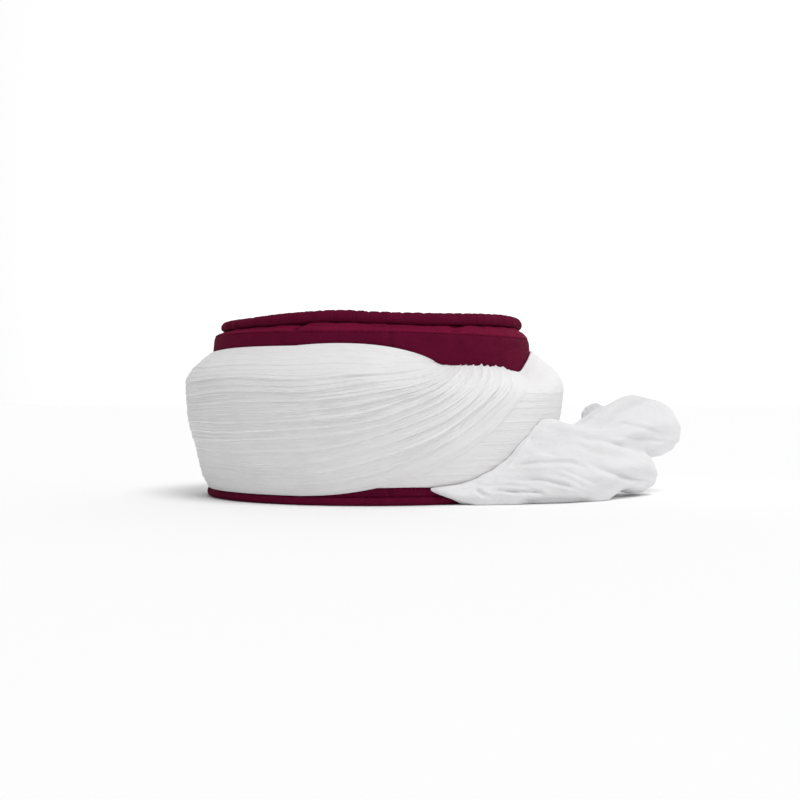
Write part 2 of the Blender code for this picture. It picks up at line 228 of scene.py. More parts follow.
# Sewing thread, smoother than the cotton, with a slight shine: real stitches, their dashes painted darker
# than the cloth as shade of the needle holes
threadShadeLook = {**maroonLook, "pale": "#5a1029", "deep": "#3d0719", "roughness": 0.5}
threadPaintedShade = clothMaterial("polyesterThreadPaintedShade", threadShadeLook, "cloth")
print("materials made")


# Pieces


def addObject(name, data):
    made = bpy.data.objects.new(name, data)
    bpy.context.scene.collection.objects.link(made)
    return made


def meshObject(bm, name):
    mesh = bpy.data.meshes.new(name)
    bm.to_mesh(mesh)
    bm.free()
    return addObject(name, mesh)


def finishPiece(bm, name, material, node=None):
    piece = meshObject(bm, name)
    piece.data.shade_smooth()
    piece.data.materials.append(material)
    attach(piece, "root")
    if node:
        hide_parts(node)
    return piece


def azimuthOf(point):  # of a point on a round ring
    return math.degrees(math.atan2(point.x, -point.y))


def unrollRing(bm, run):  # the cloth's own coordinates: round the cap, and across the ring's section
    uv = bm.loops.layers.uv.new("cloth")
    for face in bm.faces:
        middle = azimuthOf(face.calc_center_median())
        for corner in face.loops:
            azimuth = azimuthOf(corner.vert.co)
            if azimuth - middle > 180:
                azimuth -= 360
            elif middle - azimuth > 180:
                azimuth += 360
            corner[uv].uv = (math.radians(azimuth) * ringRadius, corner.vert[run])


def spinLine(bm, line, edges, steps):  # once round the upright axis
    bmesh.ops.spin(
        bm,
        geom=line + edges,
        cent=(0, 0, 0),
        axis=(0, 0, 1),
        dvec=(0, 0, 0),
        angle=2 * math.pi,
        steps=steps,
        use_merge=True,
        use_duplicate=False,
    )
    bmesh.ops.remove_doubles(bm, verts=bm.verts, dist=1e-6)
    bmesh.ops.recalc_face_normals(bm, faces=bm.faces)


def spinRing(profile, shape, steps=cap["steps"]):
    # profile is a closed line of (outset, z); shape moves a point, given its azimuth, outset and z
    bm = bmesh.new()
    run = bm.verts.layers.float.new("run")
    line = []
    length = 0.0
    for i, (outset, z) in enumerate(profile):
        if i:
            length += math.dist(profile[i - 1], profile[i])
        vert = bm.verts.new((0, -(ringRadius + outset), z))
        vert[run] = length
        line.append(vert)
    edges = [bm.edges.new(pair) for pair in zip(line, line[1:] + line[:1])]
    spinLine(bm, line, edges, steps)
    unrollRing(bm, run)
    for vert in bm.verts:
        azimuth = azimuthOf(vert.co)
        outset = math.hypot(vert.co.x, vert.co.y) - ringRadius
        vert.co = ovalPoint(azimuth, *shape(azimuth, outset, vert.co.z))
    return bm


def roundNoise(azimuth, lumps, seed):  # goes round without a step, from -1 to 1
    angle = math.radians(azimuth)
    return noise.noise(Vector((math.sin(angle), math.cos(angle), 0)) * lumps / 2 + Vector((0, 0, seed)))


def seamDistance(azimuth):  # from the cap's one upright seam, in metres
    return math.radians(azimuth - cap["seamAzimuth"]) * ringRadius


# Cap wall: padded band with a puffed strip above a line of stitches, and one upright seam

wallOutside = [
    (0.0, 0.0018), (0.0, 0.0240), (0.0, 0.0480), (0.0, 0.0700), (0.0, 0.0840), (-0.0001, 0.0885),
    (-0.0003, 0.0908), (-0.0007, 0.0924), (-0.0013, 0.0930), (-0.0010, 0.0936), (-0.0018, 0.0944),
    (-0.0032, 0.0954), (-0.0049, 0.0964), (-0.0064, 0.0971),
]
wallInside = [(-0.0116, 0.0971), (-0.0116, 0.0957), (-0.0060, 0.0918), (-0.0030, 0.0878), (-0.0030, 0.0018)]
topColumns = ("azimuth", "lift", "stitchShift")
capTop = (  # how far the soft top stands above or below its mean height round the cap
    (-180, 0.0000, 0.0000),
    (-110, -0.0001, 0.0004),
    (-85, -0.0004, 0.0009),
    (-60, -0.0005, 0.0010),
    (-45, -0.0002, 0.0009),
    (-35, 0.0000, 0.0007),
    (-27, 0.0005, 0.0006),
    (-19, 0.0010, 0.0004),
    (-13, 0.0013, 0.0002),
    (-6, 0.0011, 0.0001),
    (1, 0.0004, 0.0000),
    (11, 0.0000, -0.0001),
    (25, 0.0000, -0.0004),
    (36, 0.0004, -0.0006),
    (46, 0.0008, -0.0008),
    (60, 0.0012, -0.0008),
    (78, 0.0010, -0.0006),
    (110, 0.0003, -0.0003),
    (180, 0.0000, 0.0000),
)
stripPinches = ((-25.0, 4.5), (31.0, 6.0), (-104.0, 5.0), (-62.0, 4.0), (88.0, 6.0), (140.0, 5.0))


def topValue(column, azimuth):
    return curveValue(capTop, topColumns, column, (azimuth + 180) % 360 - 180)


def shapeWall(azimuth, outset, z):
    lift = topValue("lift", azimuth) * ease((z - 0.0925) / 0.004)
    if outset < -0.0115 or (z < 0.096 and outset < -0.0029):
        return outset, z + lift
    upper = ease((z - 0.0932) / 0.0015)
    puff = cap["stripWaves"] * (0.9 * roundNoise(azimuth, 16, 3.0) + 0.4 * roundNoise(azimuth, 46, 8.0))
    puff += 0.0005 * math.cos(math.radians(azimuth))
    for pinch, width in stripPinches:
        puff -= cap["pinchDepth"] * bell(azimuth - pinch - (z - 0.0950) * 900, width / 2.6)
        puff += 0.0005 * bell(azimuth - pinch - width, width / 1.5)
    quilt = cap["quiltDepth"] * noise.noise(Vector((azimuth / 9, z * 55, 2.0))) * ease((0.0905 - z) / 0.006)
    seam = bell(seamDistance(azimuth), 0.0009)
    beside = bell(abs(seamDistance(azimuth)) - 0.003, 0.0016)
    outset += upper * puff + quilt - cap["seamDepth"] * seam + 0.0003 * beside
    height = z + topValue("stitchShift", azimuth) * bell(z - 0.0930, 0.0030) + lift
    if z > 0.0935 and outset > -0.007:
        height += 0.6 * upper * puff
    return outset, min(height, 0.0975 + topValue("lift", azimuth))


wallLine = [*smoothLine(wallOutside, 3), *wallInside]
wallMesh = spinRing(wallLine, shapeWall)
# faces above the stitch line take the paler copy: painted light on the up-facing strip
for face in wallMesh.faces:
    middle = face.calc_center_median()
    if middle.z > 0.0931 + topValue("stitchShift", azimuthOf(middle - capAxis)):
        face.material_index = 1
capWall = finishPiece(wallMesh, "capWall", maroonCotton, "cap_wall")
capWall.data.materials.append(maroonStripLit)

# Hem: a binding folded round the wall's foot

hemOutside = [
    (0.0004, 0.0043), (0.0012, 0.0041), (0.0016, 0.0031), (0.0016, 0.0017), (0.0010, 0.0005),
    (0.0000, 0.0000), (-0.0016, 0.0000), (-0.0030, 0.0000), (-0.0041, 0.0005), (-0.0046, 0.0017),
    (-0.0046, 0.0031), (-0.0042, 0.0041), (-0.0034, 0.0043),
]


def shapeHem(azimuth, outset, z):
    if z > 0.0003:
        ripple = 0.00022 * roundNoise(azimuth, 90, 5.0) + 0.00016 * roundNoise(azimuth, 34, 1.0)
        outset += ripple - 0.0004 * bell(seamDistance(azimuth), 0.0008)
        z += 0.8 * ripple * ease((z - 0.002) / 0.002)
    return outset, max(z, 0.0)


hemLine = [*smoothLine(hemOutside, 3), (-0.0033, 0.0015), (0.0003, 0.0015)]
capHem = finishPiece(spinRing(hemLine, shapeHem), "capHem", maroonCotton, "cap_hem")

# Rim: a padded roll drawn in at every pucker

rim = {
    "puckers": 88,
    "steps": 1408,  # round the ring, 16 for each pucker
    "depth": 0.17,
    "ribs": 0.05,
    "middle": (-0.0083, 0.1010),
    "lowest": 0.0976,
    "highest": 0.1047,
}
rimOutside = [
    (-0.0112, 0.0978), (-0.0086, 0.0976), (-0.0060, 0.0978), (-0.0047, 0.0990), (-0.0043, 0.1006),
    (-0.0047, 0.1024), (-0.0060, 0.1038), (-0.0082, 0.1044), (-0.0104, 0.1040), (-0.0119, 0.1026),
    (-0.0121, 0.1002),
]


def puckerTurn(azimuth):  # a whole number at every pucker, unevenly spaced
    return azimuth / 360 * rim["puckers"] + 0.3 * roundNoise(azimuth, 60, 2.0)


def shapeRim(azimuth, outset, z):
    turn = puckerTurn(azimuth)
    draw = (1 - abs(math.sin(math.pi * turn)) ** 0.6) * (0.75 + 0.7 * roundNoise(azimuth, 120, 6.0))
    ribs = abs(math.sin(math.pi * (turn * 3.0 + 0.5 * roundNoise(azimuth, 170, 7.0)))) ** 0.8 - 0.6
    midOutset, midZ = rim["middle"]
    shown = ease((z - 0.0978) / 0.0016)
    lean = math.atan2(z - midZ, outset - midOutset)
    share = 1 - rim["depth"] * draw * shown * (0.55 + 0.45 * ease((lean - 0.2) / 0.9))
    share += rim["ribs"] * ribs * shown + 0.05 * roundNoise(azimuth, 150, 4.0) * shown
    share -= 0.06 * bell(lean - 0.45, 0.13) * (0.8 + roundNoise(azimuth, 20, 9.0))
    slim = 1 - 0.14 * ease((-32 - azimuth) / 20) * ease((azimuth + 130) / 30)
    height = min(midZ + (z - midZ) * share, rim["highest"])
    height = rim["lowest"] + (height - rim["lowest"]) * slim + topValue("lift", azimuth)
    return midOutset + (outset - midOutset) * share, height


rimMesh = spinRing(smoothLine(rimOutside, 3, True), shapeRim, rim["steps"])
crownRim = finishPiece(rimMesh, "crownRim", maroonCotton, "crown_rim")

# Crown: a shallow padded top, gathered at its edge and quilted along two ovals

crown = {
    "halfLength": 0.0829,
    "halfWidth": 0.0739,
    "quiltedAt": (0.86, 0.5),  # shares of the way out from the middle
    "quiltDepth": 0.0008,
    "rings": 60,
    "topShare": 0.975,
    "topZ": 0.1038,
    "fall": 0.0008,  # from the middle to the edge
}
crownEdge = [(0.0, 0.0982), (1.0, 0.0982), (1.0, 0.1008), (0.992, 0.1024)]  # share of the way out, z


def makeCrown():
    bm = bmesh.new()
    run = bm.verts.layers.float.new("run")
    line = list(crownEdge)
    for i in range(crown["rings"] + 1):
        share = crown["topShare"] * (1 - i / crown["rings"])
        line.append((share, crown["topZ"] - crown["fall"] * (share / crown["topShare"]) ** 2))
    verts = []
    for share, z in line:
        vert = bm.verts.new((0, -share, z))
        vert[run] = (1 - share) * crown["halfWidth"]
        verts.append(vert)
    edges = [bm.edges.new(pair) for pair in zip(verts, verts[1:])]
    spinLine(bm, verts, edges, cap["steps"] // 2)
    uv = bm.loops.layers.uv.new("cloth")
    for face in bm.faces:
        for corner in face.loops:
            corner[uv].uv = (corner.vert.co.x * crown["halfLength"], corner.vert.co.y * crown["halfWidth"])
    for vert in bm.verts:
        share = math.hypot(vert.co.x, vert.co.y)
        azimuth = azimuthOf(vert.co)
        if vert.co.z > 0.1015 and share > 0.01:
            gather = abs(math.sin(math.pi * puckerTurn(azimuth)))
            vert.co.z -= 0.0007 * (1 - gather**0.7) * ease((share - 0.86) / 0.14)
            for quilted in crown["quiltedAt"]:
                distance = (share - quilted) * crown["halfWidth"]
                vert.co.z -= crown["quiltDepth"] * bell(distance, 0.0011)
                vert.co.z -= 0.0003 * bell(distance, 0.005) * (0.5 + roundNoise(azimuth, 70, quilted))
            vert.co.z += 0.0004 * noise.noise(Vector((vert.co.x * 5, vert.co.y * 5, 4.0)))
        vert.co.z += topValue("lift", azimuth) * ease(share)
        vert.co.x *= crown["halfLength"]
        vert.co.y *= crown["halfWidth"]
        vert.co += capAxis
    return bm


capCrown = finishPiece(makeCrown(), "capCrown", maroonCotton, "cap_crown")


def stitchLine(name, points, length, width):  # one short thread at each point, laid along the line
    bm = bmesh.new()
    uv = bm.loops.layers.uv.new("cloth")
    for i, point in enumerate(points):
        ahead = (points[(i + 1) % len(points)] - points[i - 1]).normalized()
        side = ahead.cross(Vector((0, 0, 1))).normalized()
        turn = Matrix((ahead, side, ahead.cross(side))).transposed().to_4x4()
        size = Matrix.Diagonal((length / 2, width / 2, width / 2, 1))
        bmesh.ops.create_icosphere(
            bm, subdivisions=1, radius=1.0, matrix=Matrix.Translation(point) @ turn @ size
        )
    for face in bm.faces:
        for corner in face.loops:
            corner[uv].uv = (corner.vert.co.x, corner.vert.co.z)
    return finishPiece(bm, name, threadPaintedShade)


def wallRing(outset, z, count):
    points = []
    for i in range(count):
        azimuth = 360 * i / count - 180
        points.append(ovalPoint(azimuth, outset, z + topValue("stitchShift", azimuth)))
    return points


stripStitches = stitchLine("stripStitches", wallRing(-0.00115, cap["stitchHeight"], 190), 0.0019, 0.0005)
for quilted in crown["quiltedAt"]:
    count = int(170 * quilted)
    points = []
    for i in range(count):
        angle = 2 * math.pi * i / count
        x = crown["halfLength"] * quilted * math.sin(angle)
        y = -crown["halfWidth"] * quilted * math.cos(angle)
        lift = topValue("lift", math.degrees(angle)) * ease(quilted)
        points.append(Vector((x, y, 0.1034 - 0.0006 * quilted**2 + lift)) + capAxis)
    stitchLine(f"crownStitches{int(quilted * 100)}", points, 0.0020, 0.0005)
print("cap made")

# Wrap: inner turns, then the outer turn whose pleats sweep up to the tuck

wrapColumns = ("azimuth", "footOutset", "bellyOutset", "shoulderZ", "bottomZ", "topZ")
wrapStations = (
    (-180, -0.0003, 0.0140, 0.0650, 0.0090, 0.0825),
    (-90, -0.0003, 0.0137, 0.0668, 0.0090, 0.0825),
    (-24, -0.0003, 0.0137, 0.0658, 0.0090, 0.0815),
    (0, -0.0003, 0.0137, 0.0640, 0.0094, 0.0800),
    (20, -0.0001, 0.0137, 0.0580, 0.0094, 0.0730),
    (45, 0.0005, 0.0145, 0.0570, 0.0065, 0.0722),
    (56, 0.0010, 0.0155, 0.0580, 0.0055, 0.0719),
    (63, 0.0011, 0.0167, 0.0595, 0.0052, 0.0724),
    (70, 0.0012, 0.0180, 0.0607, 0.0050, 0.0778),
    (79, 0.0014, 0.0195, 0.0620, 0.0050, 0.0836),
    (90, 0.0014, 0.0200, 0.0625, 0.0050, 0.0855),
    (132, 0.0008, 0.0165, 0.0630, 0.0060, 0.0850),
    (150, -0.0003, 0.0150, 0.0630, 0.0085, 0.0835),
    (180, -0.0003, 0.0140, 0.0650, 0.0090, 0.0825),
)
pleatColumns = ("share", "levelZ", "bendAzimuth", "bendZ", "tuckAzimuth", "tuckZ")
pleatStations = (
    (0.0, 0.0051, 30.0, 0.0051, 54.0, 0.0722),
    (0.055, 0.0090, 23.5, 0.0090, 47.5, 0.0742),
    (0.29, 0.0282, 14.0, 0.0280, 36.0, 0.0753),
    (0.46, 0.0420, 10.0, 0.0420, 30.2, 0.0752),
    (0.62, 0.0552, 8.0, 0.0555, 27.0, 0.0752),
    (1.0, 0.0858, 8.0, 0.0902, 23.3, 0.0757),
)
edgeColumns = ("azimuth", "z")
# Height of the wrap's upper edge
upperEdge = (
    (-90, 0.0841), (-40, 0.0853), (-6, 0.0873), (3, 0.0867), (10, 0.0841), (16.5, 0.0800),
    (23.3, 0.0757), (30.6, 0.0750), (38.7, 0.0760), (48.3, 0.0747), (60.5, 0.0731),
)
wrap = {
    "roundShare": 0.7,
    "shoulderPower": 1.6,  # 1 is a straight slope above the shoulder, more is rounder
    "rightShoulderPower": 2.2,
    "footZ": 0.0045,
    "overStart": -216.0,
    "sweepStart": -24.0,
    "levelShare": 0.6957,
    "tuckHook": 3.0,
    "backTopZ": 0.0840,
    "overLift": 0.0021,
    "overSwell": 0.0009,
    "underPleat": 0.0040,  # height of an inner turn's pleat
    "underDepth": 0.00045,
    "underFineDepth": 0.00025,
    "underColumns": 330,
    "underRows": 220,
    "overPleats": 14,
    "overDepth": 0.0010,
    "overFineDepth": 0.00045,
    "overFinestDepth": 0.00018,
    "overColumns": 330,
    "overRows": 270,
}


def wrapValue(column, azimuth):
    return curveValue(wrapStations, wrapColumns, column, (azimuth + 180) % 360 - 180)


def shoulderPower(azimuth):
    turn = (azimuth + 180) % 360 - 180
    right = ease((turn - 12) / 22) * ease((158 - turn) / 20)
    return wrap["shoulderPower"] + (wrap["rightShoulderPower"] - wrap["shoulderPower"]) * right


def bellyOutset(azimuth, z):  # the inner turns' smooth outside
    foot = wrapValue("footOutset", azimuth)
    full = wrapValue("bellyOutset", azimuth)
    shoulderZ = wrapValue("shoulderZ", azimuth)
    if z <= shoulderZ:
        share = clamp((z - wrap["footZ"]) / (shoulderZ - wrap["footZ"]))
        curve = wrap["roundShare"] * math.sin(share * math.pi / 2) + (1 - wrap["roundShare"]) * share
        return foot + (full - foot) * curve
    share = clamp((z - shoulderZ) / (wrapValue("topZ", azimuth) - shoulderZ))
    return full * (1 - share ** shoulderPower(azimuth))


def pleatRelief(index, along, seed):
    # pleats lie over each other like tiles: each one's lower edge is a raised lip,
    # and its upper edge is tucked under
    number = math.floor(index)
    share = index - number
    height = 0.75 + 0.7 * noise.noise(Vector((number * 5.3 + 2.0, along * 1.6, seed + 7)))
    slope = 0.85 + 0.6 * noise.noise(Vector((number * 3.17, along * 1.1, seed)))
    lip = 0.38 * bell(share - 0.13, 0.10)
    return (1 - slope * share + lip) * ease(share / 0.09) * height


def clothGrid(columns, rows, place, size, closedRound):
    # a flat grid of cloth, put in place point by point; size is its length and width for the weave
    bm = bmesh.new()
    bmesh.ops.create_grid(bm, x_segments=columns, y_segments=rows, size=0.5)
    uv = bm.loops.layers.uv.new("cloth")
    for face in bm.faces:
        for corner in face.loops:
            corner[uv].uv = ((corner.vert.co.x + 0.5) * size[0], (corner.vert.co.y + 0.5) * size[1])
    for vert in bm.verts:
        vert.co = place(clamp(vert.co.x + 0.5), clamp(vert.co.y + 0.5))
    if closedRound:
        bmesh.ops.remove_doubles(bm, verts=bm.verts, dist=2e-6)
    bmesh.ops.recalc_face_normals(bm, faces=bm.faces)
    return bm


def rolled(distance, radius):  # how a cloth edge turns over and runs back behind itself: (ahead, behind)
    turn = min(distance / radius, math.pi)
    ahead = radius * math.sin(turn) - max(0.0, distance - math.pi * radius)
    return ahead, radius * (1 - math.cos(turn))


# Below this height the loose end lies on the inner turns, and they are smooth there
coveredBelow = (
    (16, -0.0100), (20, 0.0095), (31.6, 0.0100), (35.6, 0.0135), (39.8, 0.0175), (43.8, 0.0195),
    (47.6, 0.0220), (49.9, 0.0285), (52.3, 0.0340), (57.6, 0.0405), (64.5, 0.0460), (75, 0.0480),
    (92, 0.0460), (100, 0.0200), (106, -0.0100),
)


def underPoint(u, v):
    azimuth = 360 * u - 180
    low, high = 0.06, 0.93  # shares of the grid that are turned in at the foot and over the top
    bottom, top = wrapValue("bottomZ", azimuth), wrapValue("topZ", azimuth)
    if v < low:
        back = (low - v) / low
        outset = max(0.0006, bellyOutset(azimuth, bottom) * (1 - back))
        return ovalPoint(azimuth, outset, bottom + 0.004 * back)
    if v > high:
        back = (v - high) / (1 - high)
        ahead, behind = rolled(0.007 * back, 0.0008)
        return ovalPoint(azimuth, 0.0020 - behind, top + ahead)
    share = (v - low) / (high - low)
    z = bottom + (top - bottom) * (1 - (1 - share) ** 1.15)
    nearTop = ease((z - (top - 0.006)) / 0.006)
    outset = max(bellyOutset(azimuth, z), 0.0) + 0.0020 * nearTop
    index = z / wrap["underPleat"] + 0.25 * roundNoise(azimuth, 3, z * 25) + 3.0
    relief = pleatRelief(index, azimuth / 60, 1.0)
    fine = pleatRelief(index * 2.7, azimuth / 40, 5.0)
    edges = min(1.0, share / 0.05) * min(1.0, (1 - share) / 0.06)
    depth = wrap["underDepth"] * (0.7 + 0.45 * noise.noise(Vector((azimuth / 50, share * 4, 9.0))))
    edges *= 1 - 0.5 * ease((z - 0.056) / 0.008)  # softer over the shoulder
    if coveredBelow[0][0] < azimuth < coveredBelow[-1][0]:
        edges *= ease((z - curveValue(coveredBelow, edgeColumns, "z", azimuth)) / 0.0012)
    edges *= ease(abs(azimuth - 360 - wrap["overStart"]) / 5)  # flat where the outer turn starts
    height = (depth * (relief - 0.6) + wrap["underFineDepth"] * (fine - 0.5)) * edges
    return ovalPoint(azimuth, outset + height, z)


wrapUnder = finishPiece(
    clothGrid(wrap["underColumns"], wrap["underRows"], underPoint, (0.66, 0.105), True),
    "wrapUnder",
    pleatedVoile,
    "wrap_under",
)
print("inner turns made")


def pleatPlace(share, along):
    # (azimuth, z) on a pleat of the outer turn, from its hidden start to the tuck
    at = {name: curveValue(pleatStations, pleatColumns, name, share) for name in pleatColumns[1:]}
    level = wrap["levelShare"]
    lowest, highest = pleatStations[0][1], pleatStations[-1][1]
    if along <= level:
        azimuth = wrap["overStart"] + (wrap["sweepStart"] - wrap["overStart"]) * along / level
        settle = ease((azimuth + 90) / (wrap["sweepStart"] + 90))
        topZ = wrap["backTopZ"] + (highest - wrap["backTopZ"]) * settle
        backZ = lowest + (topZ - lowest) * share
        return azimuth, backZ + (at["levelZ"] - backZ) * settle
    t = (along - level) / (1 - level)
    start, bend, end = (1 - t) ** 2, 2 * t * (1 - t), t * t
    azimuth = start * wrap["sweepStart"] + bend * at["bendAzimuth"] + end * at["tuckAzimuth"]
    azimuth += wrap["tuckHook"] * (1 - share) * ease((t - 0.8) / 0.2)
    return azimuth, start * at["levelZ"] + bend * at["bendZ"] + end * at["tuckZ"]


def overOutset(azimuth, z, share, along):
    sweep = ease((along - wrap["levelShare"]) / 0.12)
    lift = wrap["overLift"] + wrap["overSwell"] * math.sin(math.pi * share)
    lift += 0.0008 * clamp((azimuth - wrap["sweepStart"]) / 48) * sweep
    settled = 0.0006 + (0.0002 + 0.0005 * ease(along / 0.05)) * (1 - sweep)
    lift = settled + (lift - settled) * ease(share / 0.07) * ease(along / 0.05)
    shoulderZ = wrapValue("shoulderZ", azimuth)
    if z <= shoulderZ:
        return bellyOutset(azimuth, z) + lift
    edge = curveValue(upperEdge, edgeColumns, "z", azimuth) if azimuth > -90 else upperEdge[0][1]
    rise = clamp((z - shoulderZ) / (edge + 0.0004 - shoulderZ)) ** shoulderPower(azimuth)
    return (wrapValue("bellyOutset", azimuth) + lift) * (1 - rise) + 0.0013 * rise


def overBase(share, along):
    azimuth, z = pleatPlace(share, along)
    return ovalPoint(azimuth, overOutset(azimuth, z, share, along), z)


def overPoint(u, v):
    low, high, first, last = 0.03, 0.95, 0.012, 0.965  # turned in beyond these shares of the grid
    share = clamp((v - low) / (high - low))
    along = clamp((u - first) / (last - first))
    point = overBase(share, along)
    step = 0.004
    azimuth, z = pleatPlace(share, along)
    acrossStep = overBase(min(share + step, 1), along) - overBase(max(share - step, 0), along)
    alongStep = overBase(share, min(along + step, 1)) - overBase(share, max(along - step, 0))
    reach = 0.001
    below = overOutset(azimuth, z - reach, share, along)
    above = overOutset(azimuth, z + reach, share, along)
    slope = (below - above) / (2 * reach)
    level = (ovalPoint(azimuth, 0.01, z) - ovalPoint(azimuth, 0.0, z)).normalized()
    outward = (level + Vector((0, 0, slope))).normalized()
    forward = (alongStep - outward * alongStep.dot(outward)).normalized()
    across = forward.cross(outward)
    if across.dot(acrossStep) < 0:
        across.negate()
    sweep = ease((along - wrap["levelShare"] + 0.08) / 0.2)
    tuck = ease((along - 0.9) / 0.1)
    index = share * wrap["overPleats"] + 0.9 * noise.noise(Vector((along * 3.2, share * 2.4, 1.0)))
    index += 0.3 * noise.noise(Vector((along * 9, share * 7, 4.0))) + 4
    relief = pleatRelief(index, along * 9, 2.0)
    fine = pleatRelief(index * 2.6 + 0.2, along * 12, 6.0)
    finest = pleatRelief(index * 5.3, along * 20, 9.0)
    band = 1 - 0.25 * ease((share - 0.55) / 0.1)  # the cloth above the shoulder lies smoother
    band -= 0.45 * ease((share - 0.80) / 0.06) * (1 - 0.35 * tuck)
    spread = acrossStep.length / (min(share + step, 1) - max(share - step, 0))
    room = clamp(spread / 0.06)  # less where pleats crowd
    depth = (wrap["overDepth"] + 0.0004 * sweep - 0.0004 * tuck) * band * room
    depth *= 0.3 + 0.7 * ease((azimuth + 100) / 50)
    depth *= 0.85 + 0.6 * noise.noise(Vector((along * 5, share * 6, 12.0)))
    fineDepth = (wrap["overFineDepth"] + 0.0001 * tuck) * (1 - 0.5 * (1 - band))
    fineDepth *= 0.5 + 0.5 * ease((azimuth + 100) / 50)
    fineDepth *= 0.35 + 0.65 * room
    edges = min(1.0, share / 0.03) * min(1.0, (1 - share) / 0.025) * (0.2 + 0.8 * ease(along / 0.04))
    height = depth * (relief - 0.5) + fineDepth * (fine - 0.5)
    height = (height + wrap["overFinestDepth"] * room * (finest - 0.5)) * edges
    wander = 0.022 * noise.noise(Vector((azimuth / 16, 0.0, 31.0)))
    crease = bell(share - 0.775 - wander, 0.012) * ease((-28 - azimuth) / 35)
    broken = 0.6 + 0.8 * noise.noise(Vector((azimuth / 9, 3.0, 5.0)))
    height -= 0.0004 * crease * broken * ease((azimuth + 130) / 30)
    height += 0.0006 * noise.noise(Vector((along * 6, share * 5, 20.0))) * edges
    point += outward * height
    if v < low:
        ahead, behind = rolled((low - v) / low * 0.0035, 0.0005)
        point += -across * ahead - outward * behind
    elif v > high:
        ahead, behind = rolled((v - high) / (1 - high) * 0.0065, 0.0006)
        point += across * ahead - outward * behind
    if u < first:
        ahead, behind = rolled((first - u) / first * 0.0035, 0.0003)
        point += -forward * ahead - outward * behind
    elif u > last:
        ahead, behind = rolled((u - last) / (1 - last) * 0.0065, 0.0007)
        scallop = 0.0006 * (relief - 0.5)
        point += forward * (ahead + scallop) - outward * behind
    return point


wrapOver = finishPiece(
    clothGrid(wrap["overColumns"], wrap["overRows"], overPoint, (0.52, 0.105), False),
    "wrapOver",
    pleatedVoile,
    "wrap_over",
)
print("outer turn made")

# The studio's values stand here because the loose end's folds are placed as the camera sees them
studio = {
    "floorColour": "#ffffff",
    "skyColour": "#fefeff",
    "skyFront": 0.55,
    "skyBack": 1.20,
    "skyFocus": 1.6,  # how much the light gathers straight behind
    "skyAbove": 0.13,
    "skyRight": 0.03,  # brighter to the right
    "skyLeft": 0.50,  # darker to the left
    "sunStrength": 1.26,
    "sunSize": 32.0,  # as wide as a large soft box
    "sunTilt": 27.0,
    "sunTurn": 36.0,
    "cameraPlace": (-0.0220, -0.7198, 0.0565),
    "lens": 53.19,
    "distance": 0.72,  # from the camera to the cap's axis
    "eye": (0.0171, 0.0565),  # the camera's place across and its height, seen from the cap's axis
}

# Loose end: bundles of folds fused into one soft form

tail = {
    "voxel": 0.0009,
    "smoothing": 7,
    "wrinkle": 0.00032,
    "clearOfWrap": 0.0002,
    "thinEdge": 0.0003,  # the cloth's thickness where it lies on the wrap
    "edgeRidge": 0.0009,
    "edgeSlope": 0.75,  # how fast it grows thicker away from its edge on the wrap
    "edgeCurve": 70.0,  # and how fast that grows
    "coreShare": 0.98,
    "headingDegrees": 33.0,
}
# Bodies of the two bundles: x, y, height of the bottom and of the top, half width.
# What is below the ground is pressed flat.
lowBundle = (
    (0.0325, -0.0845, 0.0075, 0.0100, 0.0014),
    (0.0425, -0.0828, 0.0036, 0.0112, 0.0040),
    (0.0525, -0.0785, -0.0010, 0.0130, 0.0086),
    (0.0590, -0.0752, -0.0060, 0.0156, 0.0112),
    (0.0659, -0.0711, -0.0120, 0.0195, 0.0142),
    (0.0717, -0.0674, -0.0160, 0.0222, 0.0174),
    (0.0773, -0.0640, -0.0190, 0.0256, 0.0200),
    (0.0816, -0.0614, -0.0230, 0.0306, 0.0214),
    (0.0857, -0.0590, -0.0260, 0.0345, 0.0228),
    (0.0931, -0.0548, -0.0280, 0.0360, 0.0245),
    (0.1013, -0.0506, -0.0250, 0.0370, 0.0252),
    (0.1200, -0.0406, -0.0110, 0.0355, 0.0235),
    (0.1340, -0.0308, -0.0010, 0.0335, 0.0210),
    (0.1470, -0.0200, 0.0040, 0.0300, 0.0188),
    (0.1580, -0.0095, 0.0012, 0.0250, 0.0150),
    (0.1650, -0.0030, 0.0030, 0.0210, 0.0098),
    (0.1672, -0.0008, 0.0070, 0.0170, 0.0050),
)
highBundle = (
    (0.0805, -0.0610, 0.0110, 0.0275, 0.0070),
    (0.0870, -0.0572, 0.0130, 0.0350, 0.0100),
    (0.0960, -0.0525, 0.0150, 0.0430, 0.0130),
    (0.1040, -0.0482, 0.0170, 0.0462, 0.0145),
    (0.1130, -0.0428, 0.0190, 0.0430, 0.0165),
    (0.1240, -0.0345, 0.0200, 0.0425, 0.0180),
    (0.1340, -0.0250, 0.0210, 0.0485, 0.0190),
    (0.1450, -0.0138, 0.0210, 0.0548, 0.0200),
    (0.1570, -0.0020, 0.0210, 0.0594, 0.0205),
    (0.1690, 0.0075, 0.0215, 0.0580, 0.0190),
    (0.1790, 0.0138, 0.0230, 0.0540, 0.0145),
    (0.1865, 0.0180, 0.0265, 0.0470, 0.0085),
    (0.1887, 0.0193, 0.0310, 0.0425, 0.0042),
)
